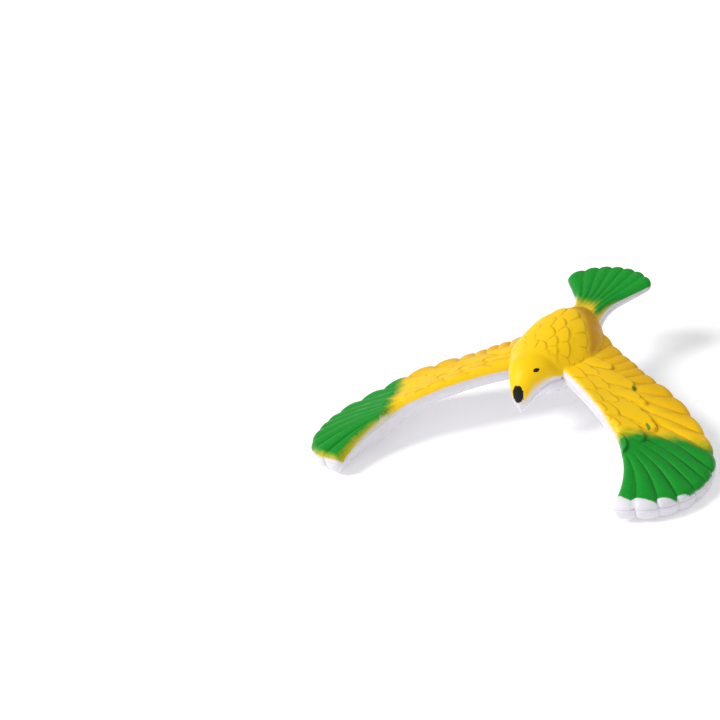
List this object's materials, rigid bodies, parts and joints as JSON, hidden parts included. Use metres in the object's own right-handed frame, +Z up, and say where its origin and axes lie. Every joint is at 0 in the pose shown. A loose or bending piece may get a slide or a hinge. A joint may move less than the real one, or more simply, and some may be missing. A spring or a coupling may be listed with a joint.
{
  "type": "balancing bird",
  "caption": "Gliding toy bird moulded as two plastic shells, weighted in the wing tips so that it balances on the point of its beak.",
  "frame": {"origin": "middle of the bounding box in plan, on the table that the wing tips rest on", "axes": "+Z up, the head faces -Y, the tail points to +Y, the bird's left wing is on +X"},
  "size_m": [0.1794, 0.14, 0.0391],
  "materials": {
    "painted_shell": "yellow and green spray paint on white plastic, satin gloss",
    "white_shell": "bare white plastic, satin gloss",
    "weight": "plain steel"
  },
  "bodies": {
    "root": {"upper_shell": "painted_shell", "lower_shell": "white_shell", "left_wing_weight": "weight", "right_wing_weight": "weight"}
  },
  "joints": []
}
